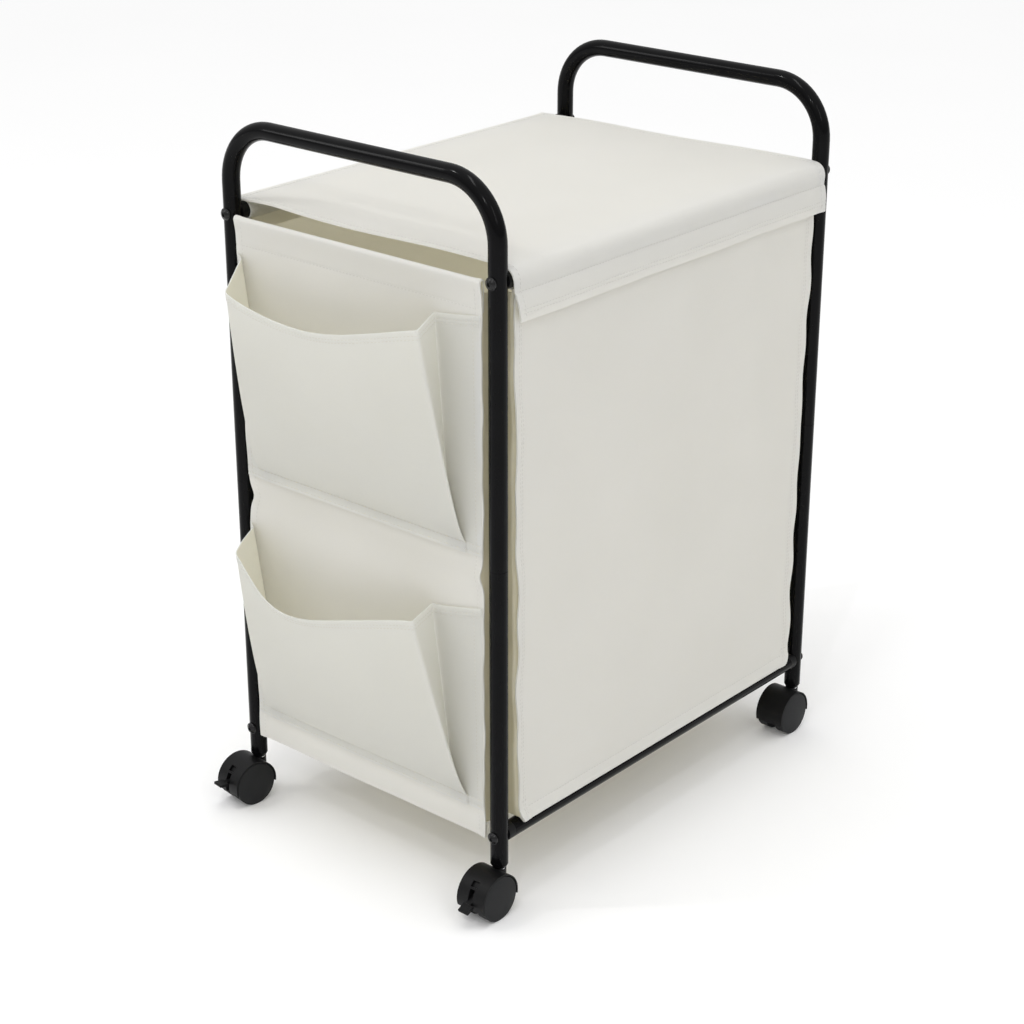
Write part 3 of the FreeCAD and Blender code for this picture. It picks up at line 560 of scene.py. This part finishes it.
def corner_strip(side, sign, end, along):
    """The strip from a side wall's edge, inside the post, to the end wall."""
    seed = WALL_SEEDS[side]
    low_z, high_z = LOW_RAIL_Z + TUBE_R + 2, STRIP_TOP_Z
    down = positions(high_z - low_z, 8.0)
    plan = rounded_line(
        [(0, 0), (2, 3), (4, 3.4), (16, 3.6), (18.2, 5.6), (18.4, 14), (18.4, STRIP_DEPTH)]
    )
    across = run(plan)[np.linspace(0, len(plan) - 1, 40).round().astype(int)]

    def shape(s, t):
        z = high_z - t
        in_x, out_y = on_line(plan, s)
        near, far = wall_edges(t + wall_t(high_z), seed)
        start = (-near if along < 0 else far) - 2.5
        reach = (END_INNER_Y - 0.9 - start) / STRIP_DEPTH
        ruffle = 0.8 * np.sin(t / 17.0 + seed) * bell(s, 12, 8)
        tucked = (2.2 + end_pinch(z) * (along < 0)) * np.clip((out_y - 8) / 19, 0, 1)
        x = STRIP_X - in_x - tucked + ruffle * 0.4
        return sign * x, along * (start + out_y * reach + ruffle), z

    sheet = Sheet(
        f"bag_corner_{end}_{side}", across, down, shape, flip=(sign * along) > 0, thick=STRIP_CLOTH
    )
    # Both faces of the strip wear the tan inner cloth: painted shade for the shadow between the post and the
    # bag.
    strip = sheet.build("frame", outer=SHADE_TINTED_INNER_CLOTH, inner=SHADE_TINTED_INNER_CLOTH)
    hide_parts(f"bag_side_{side}")


for side, sign in (("right", 1), ("left", -1)):
    side_wall(side, sign)
    for end, along in (("front", -1), ("rear", 1)):
        corner_strip(side, sign, end, along)


# ---- end walls ----

END_HALF = 169.0
END_BOTTOM_Z = END_LOW[2] - 0.5
ROD_Z = (ROD_LOW[2] + ROD_HIGH[2]) / 2
END_Y = -END_LOW[1]
END_STITCH_X = 160.6
HEM_R, HEM_STITCH_Z = 3.3, 658.0
HEM_RUN, TAIL_RUN = 62, 24


def end_path():
    """The end wall's way in the Y-Z plane: up behind the hem rod, over it, down, and round the low hem."""
    rod_y = END_Y - CLOTH / 2
    turns = np.radians([-20, 25, 70, 110, 155, 195])
    loop = [(rod_y - HEM_R * math.cos(a), ROD_Z + HEM_R * math.sin(a)) for a in turns]
    return rounded_line(
        [(END_Y - 2.6, HEM_STITCH_Z - 3), (END_Y - 2.8, HEM_STITCH_Z + 8)]
        + loop
        + [(END_Y + 0.4, HEM_STITCH_Z + 14), (END_Y, HEM_STITCH_Z), (END_Y, 400), (END_Y, 110)]
        + [(END_Y + 0.2, END_BOTTOM_Z + 6), (END_Y, END_BOTTOM_Z + 0.4), (END_Y - 1.0, END_BOTTOM_Z)]
        + [(END_Y - 2.2, END_BOTTOM_Z + 0.6), (END_Y - 2.5, END_BOTTOM_Z + 5)]
        + [(END_Y - 2.6, END_BOTTOM_Z + 14)]
    )


END_LINE = end_path()
END_RUN = run(END_LINE)
END_DOWN = END_RUN[-1]


def end_t(z):
    """Where on the end wall's cut its outer face passes the height z."""
    chosen = np.flatnonzero((END_RUN > 45) & (END_RUN < END_DOWN - 14))
    return float(np.interp(-z, -END_LINE[chosen, 1], END_RUN[chosen]))


def end_shape(along, seed):
    def shape(s, t):
        out, z = on_line(END_LINE, t)
        x = s - END_HALF
        free = step_up(t, end_t(650), 40)
        waver = 0.6 * np.sin(t / 19.0 + seed) + 0.4 * np.sin(t / 8.0 + seed)
        half = (END_HALF - free * (end_pinch(z) * (along < 0) + waver)) / END_HALF
        hollow = 4.5 * bell(z, 372, 26) * (along < 0) + 1.1 * ripple(s, t, 190, seed) + 0.8
        out = out - free * hollow * (1 - 0.6 * bell(np.abs(x), END_HALF, 12))
        return x * half * -along, along * out, z

    return shape


def end_relief(s, t):
    edge = np.minimum(s, 2 * END_HALF - s)
    total = 0.45 * (1 - step_up(edge, END_HALF - END_STITCH_X + 1.5))
    total = total + groove(edge, END_HALF - END_STITCH_X, 0.45)
    total = total + groove(t, end_t(HEM_STITCH_Z), 0.25, 1.6)
    return total + 0.15 * bell(t, end_t(HEM_STITCH_Z), 5) * np.sin(s / 1.9)


def end_wall(end, along, seed):
    marks = [END_HALF - END_STITCH_X, END_HALF + END_STITCH_X]
    across = positions(2 * END_HALF, 4.0, marks)
    down = positions(END_DOWN, 4.5, [end_t(HEM_STITCH_Z)])
    hem, tail = np.arange(0, HEM_RUN, 1.2), END_DOWN - np.arange(0, TAIL_RUN, 1.2)
    flat = down[(down > HEM_RUN) & (down < END_DOWN - TAIL_RUN)]
    down = np.unique(np.concatenate([flat, hem, tail]).round(3))
    sheet = Sheet(f"bag_end_sheet_{end}", across, down, end_shape(along, seed), end_relief)
    wall = sheet.build("frame")
    lines = [[(m, end_t(683)), (m, end_t(88))] for m in marks]
    lines += [[(marks[0], end_t(HEM_STITCH_Z)), (marks[1], end_t(HEM_STITCH_Z))]]
    rows = stitches(f"end_stitches_{end}", "frame", sheet, lines)
    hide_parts(f"bag_end_{end}")


end_wall("front", -1, 21)
end_wall("rear", 1, 27)


# ---- pockets ----

def smoothed(values, size):
    """The values along the last axis, evened out over size samples, with their ends kept."""
    reach = int(3 * size)
    weight = np.exp(-0.5 * (np.arange(-reach, reach + 1) / size) ** 2)
    weight /= weight.sum()
    before = 2 * values[..., :1] - values[..., reach:0:-1]
    after = 2 * values[..., -1:] - values[..., -2 : -reach - 2 : -1]
    padded = np.concatenate([before, values, after], axis=-1)
    return np.apply_along_axis(lambda row: np.convolve(row, weight, "valid"), -1, padded)


POCKET_BAND = 12.0
POCKET_MARGIN, POCKET_PLEAT, POCKET_FRONT = 44.0, 42.0, 276.0
POCKET_ACROSS = 2 * (POCKET_MARGIN + POCKET_PLEAT) + POCKET_FRONT
POCKET_CUTS = np.cumsum([0, POCKET_MARGIN, POCKET_PLEAT, POCKET_FRONT, POCKET_PLEAT, POCKET_MARGIN])
POCKET_EDGE_X, POCKET_FOLD_X = 167.5, 149
POCKET_THICK = 0.5
POCKET_EDGE_STITCH = 7.0
LAYER_BACK, LAYER_PLEAT, LAYER_FRONT = 0.7, 0.8, 2.4


def pocket_sheet(level, low_z, tall, mouth, left_fold, right_fold, seed):
    """An open pocket with a pleat down each side. mouth is the (x, z) places along its rim's front."""
    back_y = END_Y + 0.1
    cuts = POCKET_CUTS
    band_rows, rim_rows = (3.0, POCKET_BAND - 1), (tall - 6, tall - 10)
    across = np.arange(0, POCKET_ACROSS + 0.5, 1.0)
    down = positions(tall, 4.0, [*band_rows, *rim_rows])
    # Places across the pocket, at its bottom and at its mouth: sewn edge, inner and outer fold on each side.
    inner_x = POCKET_EDGE_X - 42
    bottom_x = [-POCKET_EDGE_X, -inner_x, -POCKET_FOLD_X, POCKET_FOLD_X, inner_x, POCKET_EDGE_X]
    mouth_x = [-POCKET_EDGE_X, *left_fold[0], *right_fold[0], POCKET_EDGE_X]
    mouth_out = [0.0, *left_fold[1], *right_fold[1], 0.0]
    # How far out each layer lies where the pleats are pressed flat: margin, pleat, front, pleat, margin.
    layer_s = [0, cuts[1] - 1, cuts[1] + 1, cuts[2] - 2, cuts[2] + 2]
    layer_s += [cuts[3] - 2, cuts[3] + 2, cuts[4] - 1, cuts[4] + 1]
    layer_out = [LAYER_BACK] * 2 + [LAYER_PLEAT] * 2 + [LAYER_FRONT] * 2 + [LAYER_PLEAT] * 2 + [LAYER_BACK]

    def shape(s, t):
        free = np.clip((t - POCKET_BAND) / (tall - POCKET_BAND), 0, 1)
        opened_x, opened_y = free**1.15, free**0.62
        low_line = np.interp(s[0], cuts, bottom_x)
        high_line = np.interp(s[0], cuts, mouth_x)
        x = low_line + (high_line - low_line) * opened_x
        layer = np.interp(s[0], layer_s, layer_out)
        reach = np.interp(s[0], cuts, mouth_out)
        middle = np.clip((s[0] - cuts[2]) / POCKET_FRONT, 0, 1)
        crown = 9.0 * np.sin(math.pi * middle) ** 0.8
        pressed = 0.8 + 0.2 * step_up(t, POCKET_BAND + 14, 8)
        out = layer * pressed + (reach + crown) * opened_y
        rim_z = smoothed(np.interp(s[0], *mouth), 14.0)
        z = low_z - POCKET_BAND + 2 + np.where(
            t < POCKET_BAND, t, POCKET_BAND + (rim_z - low_z - 2) * free
        )
        # The spare cloth of the front shows as a few shallow slanting creases.
        slack = step_up(t, POCKET_BAND + 25, 60) * np.sin(math.pi * middle)
        out = out + slack * (1.6 * ripple(s, t * 1.6, 120, seed) + 0.7 * ripple(s, t, 55, seed + 1))
        x, out = smoothed(x, 2.2), smoothed(out, 2.2)
        return x, -(back_y + np.maximum(out, 0.2)), smoothed(z, 4.0)

    def relief(s, t):
        total = 0.5 * step_up(t, tall - 11)
        for row in (*rim_rows, *band_rows):
            total = total + groove(t, row, 0.4)
        puckers = bell(t, 7, 6) * np.sin(s / 2.1 + 1.5 * np.sin(s / 17.0))
        return total + 0.28 * puckers + 0.1 * np.sin(s / 2.6) * step_up(t, tall - 11)

    sheet = Sheet(f"pocket_sheet_{level}", across, down, shape, relief, flip=True, thick=POCKET_THICK)
    pocket = sheet.build("frame", outer=POCKET_CLOTH_PAINTED_SHADE)
    lines = [[(0.5, row), (POCKET_ACROSS - 0.5, row)] for row in band_rows]
    lines += [[(2.0, row), (POCKET_ACROSS - 2.0, row)] for row in rim_rows]
    edges = (POCKET_EDGE_STITCH, POCKET_ACROSS - POCKET_EDGE_STITCH)
    lines += [[(edge, 2.0), (edge, tall - 1)] for edge in edges]
    rows = stitches(f"pocket_stitches_{level}", "frame", sheet, lines)
    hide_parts(f"pocket_{level}")


FRONT_S = POCKET_MARGIN + POCKET_PLEAT
FAR_PLEAT_S = 406
pocket_sheet(
    "upper",
    UPPER_LOW[2] + 2,
    UPPER_HIGH[2] - UPPER_LOW[2] + POCKET_BAND,
    (
        [0, 44, *(FRONT_S + s for s in (0, 57, 120, 172, 228, 276)), FAR_PLEAT_S, POCKET_ACROSS],
        [648, 648, 620, 612, 608, 615, 628, 641, 644, 652],
    ),
    ((-158, -142), (4.0, 42.0)),
    ((126, 110), (42.0, 1.5)),
    31,
)
pocket_sheet(
    "lower",
    LOWER_LOW[2],
    LOWER_HIGH[2] - LOWER_LOW[2] + POCKET_BAND,
    (
        [0, 44, *(FRONT_S + s for s in (0, 45, 80, 116, 176, 276)), FAR_PLEAT_S, POCKET_ACROSS],
        [345, 345, 338, 297, 287, 291, 309, 336, 330, 346],
    ),
    ((-157, -141), (6.0, 47.0)),
    ((117, 101), (47.0, 1.5)),
    37,
)


# ---- lid ----

LID_TOP_Z = LID_HIGH[2]
FLAP_Z = LID_LOW[2] - 1.0
LID_LENGTH = 518.0
LID_FRONT, LID_REAR = -260, 240
LID_HEM, FLAP_STITCH = 8.0, (8.0, 12.0)
FLAP_TOP_Z, FLAP_SEAM_Z = 690, 675.0


def lid_path():
    """The lid's way in the X-Z plane: from its sewn edge, over the bag, round the right rail, and down."""
    top = LID_TOP_Z
    turns = np.radians([82, 60, 38, 15, -8])
    roll = [(POST_X + 12.6 * math.cos(a), RAIL_Z + 12.4 * math.sin(a)) for a in turns]
    return rounded_line(
        [(LID_LOW[0], top), (-150, top + 0.2), (0, top + 0.3), (140, top + 0.6), (168, top + 0.9)]
        + roll
        + [(193.2, 680), (192.8, 676), (193.8, 671), (195.0, 664), (195.2, 655), (194.6, FLAP_Z)]
    )


LID_LINE = lid_path()
LID_RUN = run(LID_LINE)
LID_ACROSS = LID_RUN[-1]


def flap_s(z):
    """Where on the lid's cut its outer face passes the height z, round the right rail and down the flap."""
    chosen = np.flatnonzero(LID_LINE[:, 0] > POST_X + 5)
    return float(np.interp(-z, -LID_LINE[chosen, 1], LID_RUN[chosen]))


def lid_shape(s, t):
    x, z = on_line(LID_LINE, s)
    flap_top = flap_s(FLAP_TOP_Z)
    flap = np.clip((s - flap_top) / (LID_ACROSS - flap_top), 0, 1)
    front = LID_FRONT + 2.5 * bell(s, 40, 40) + 9.5 * flap
    rear = LID_REAR + 20 * np.clip(s / flap_top, 0, 1) + 3 * flap
    y = front + (rear - front) * t / LID_LENGTH
    inward = np.clip((s - 12) / 50, 0, 1) * (1 - step_up(s, flap_s(694), 30))
    loose = bell(t, 0, 40) + 0.5 * bell(t, LID_LENGTH, 30)
    wave = 0.6 * ripple(s, t, 190, 41) + loose * 1.1 * np.sin(s / 42.0 + 0.8)
    z = z + inward * (wave + 0.4)
    hang = step_up(s, flap_s(684), 12)
    x = x + hang * (0.7 * np.sin(t / 38.0) + 0.5 * np.sin(t / 91.0 + 1) + 0.5 * ripple(s, t, 60, 43))
    return x, y, z


def lid_relief(s, t):
    end_hem = np.minimum(t, LID_LENGTH - t)
    seam = flap_s(FLAP_SEAM_Z)
    total = 0.55 * step_up(s, seam) + groove(s, seam, 0.5)
    for place in FLAP_STITCH:
        total = total + groove(LID_ACROSS - s, place)
    total = total + 0.45 * (1 - step_up(end_hem, LID_HEM + 1.5))
    return total + groove(end_hem, LID_HEM)


def lid():
    marks = [flap_s(FLAP_SEAM_Z), *(LID_ACROSS - m for m in FLAP_STITCH)]
    across = positions(LID_ACROSS, 5.0, marks)
    roll = np.arange(flap_s(697) - 26, flap_s(672), 1.6)
    across = np.unique(np.concatenate([across, roll]).round(3))
    across = across[np.concatenate([[True], np.diff(across) > 0.3])]
    hems = (LID_HEM, LID_HEM + 1.5)
    down = positions(LID_LENGTH, 5.0, [*hems, *(LID_LENGTH - m for m in hems)])
    sheet = Sheet("lid_sheet", across, down, lid_shape, lid_relief, flip=True)
    top = sheet.build("lid")
    lines = [[(m, 4), (m, LID_LENGTH - 4)] for m in marks]
    lines += [[(6, t), (LID_ACROSS - 4, t)] for t in (LID_HEM, LID_LENGTH - LID_HEM)]
    lines += [[(7, 4), (7, LID_LENGTH - 4)]]
    rows = stitches("lid_stitches", "lid", sheet, lines)
    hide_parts("lid_cover")


lid()

HINGE_FRONT, HINGE_REAR = -247.0, 238.0
HINGE_CLOTH = 0.5
HINGE_R = SLEEVE_R + HINGE_CLOTH + 0.1
HINGE_X, HINGE_Z = -LID_LOW[0], LID_TOP_Z - 1.2
# The strip bends between these heights above the hinge's axis.
FOLD_START, FOLD_END = -0.3, 0.6


def lid_hinge_cloth():
    """The lid's sewn edge: a strip that lies on the left sleeve and bends where the lid turns."""
    turns = np.radians([-24, -10, 4, 18])
    on_sleeve = [(POST_X + HINGE_R * math.cos(a), RAIL_Z + HINGE_R * math.sin(a)) for a in turns]
    # From the sleeve the strip rises inside the lid's edge, so that the opened lid doesn't cut through it.
    rise = [
        (HINGE_X - inward, HINGE_Z + up)
        for inward, up in ((0.7, -4.5), (1.1, -2.0), (1.35, FOLD_START), (0.8, FOLD_END))
    ]
    line = rounded_line(on_sleeve + rise)
    length = HINGE_REAR - HINGE_FRONT
    reach = run(line)[-1]

    def shape(s, t):
        x, z = on_line(line, s)
        return -x, HINGE_FRONT + t, z

    across, down = np.linspace(0, reach, 26), positions(length, 5.0)
    strip = Sheet("lid_hinge_cloth", across, down, shape, flip=True, thick=HINGE_CLOTH).build()
    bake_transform(strip)


lid_hinge_cloth()


# ---- floor of the bag ----

FLOOR_ACROSS, FLOOR_DOWN = 360.0, 480.0
FLOOR_HALF_X, FLOOR_HALF_Y = 180.0, 239.0


def floor_shape(s, t):
    x = (s / FLOOR_ACROSS - 0.5) * 2 * FLOOR_HALF_X
    y = (t / FLOOR_DOWN - 0.5) * 2 * FLOOR_HALF_Y
    z = FLOOR_HIGH[2] + 0.2 * ripple(s, t, 90, 51)
    return x, y, z


floor_cloth = Sheet(
    "bag_floor_sheet", positions(FLOOR_ACROSS, 10), positions(FLOOR_DOWN, 10), floor_shape
)
# The floor's face inside the bag wears the tan inner cloth as painted shade for the dim inside of the bag.
floor_piece = floor_cloth.build("frame", outer=SHADE_TINTED_INNER_CLOTH, inner=IVORY)
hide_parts("bag_floor")


# ---- stage, light and camera ----

def floor_plane():
    """A white studio floor, much larger than the sorter."""
    mesh = bpy.data.meshes.new("studio_floor")
    far = 30.0
    mesh.from_pydata([(-far, -far, 0), (far, -far, 0), (far, far, 0), (-far, far, 0)], [], [(0, 1, 2, 3)])
    made, tree, shader = new_material("studio_floor", 0.9)
    shader.inputs["Emission Color"].default_value = (1, 1, 1, 1)
    shader.inputs["Emission Strength"].default_value = 0.04
    place = tree.nodes.new("ShaderNodeTexCoord").outputs["Object"]
    white = ramp(tree, noise(tree, place, 2.0), (0.95, 0.95, 0.95), (0.97, 0.97, 0.97))
    tree.links.new(white, shader.inputs["Base Color"])
    mesh.materials.append(made)
    plane = bpy.data.objects.new("studio_floor", mesh)
    bpy.context.scene.collection.objects.link(plane)


def softbox(name, place, aim, size, power):
    """A rectangular lamp at a place, turned towards its aim."""
    light = bpy.data.lights.new(name, "AREA")
    light.shape, light.size, light.size_y = "RECTANGLE", *size
    light.energy = power
    made = bpy.data.objects.new(name, light)
    bpy.context.scene.collection.objects.link(made)
    made.location = place
    way = np.array(aim, float) - np.array(place, float)
    flat = math.hypot(way[0], way[1])
    made.rotation_euler = Euler((math.atan2(flat, -way[2]), 0, math.atan2(way[1], way[0]) - math.pi / 2))


floor_plane()
world = bpy.data.worlds.new("studio")
bpy.context.scene.world = world
world.use_nodes = True
# The surroundings are dim at the horizon and bright overhead.
backdrop = world.node_tree.nodes["Background"]
backdrop.inputs["Color"].default_value = (1.0, 1.0, 1.0, 1)
sky = world.node_tree.nodes.new("ShaderNodeTexCoord").outputs["Generated"]
height = add_node(world.node_tree, "ShaderNodeSeparateXYZ", Vector=sky).outputs["Z"]
world.node_tree.links.new(number_range(world.node_tree, height, 0.42, 1.2), backdrop.inputs["Strength"])
softbox("overhead", (0.2, -0.6, 3.0), (0.0, 0.0, 0.4), (0.25, 1.4), 9)
softbox("left_key", (-2.2, -2.2, 2.2), (0.0, 0.0, 0.4), (0.3, 1.4), 7.5)
softbox("right_fill", (2.6, -0.9, 2.2), (0.0, 0.0, 0.4), (0.12, 1.2), 5)
softbox("right_glint", (1.3, -2.4, 2.7), (0.0, 0.0, 0.6), (0.03, 0.14), 8)
softbox("left_glint", (-1.2, -1.6, 2.9), (0.0, 0.0, 0.6), (0.03, 0.14), 7)

camera = bpy.data.objects.new("camera", bpy.data.cameras.new("camera"))
bpy.context.scene.collection.objects.link(camera)
bpy.context.scene.camera = camera
camera.data.sensor_width = 36.0
camera.data.lens = 79.99
camera.location = (1.5317, -1.7826, 1.3272)
camera.rotation_euler = Euler((math.radians(90 - 23.169), 0, math.radians(40.87)))
bpy.context.scene.view_settings.view_transform = "Standard"
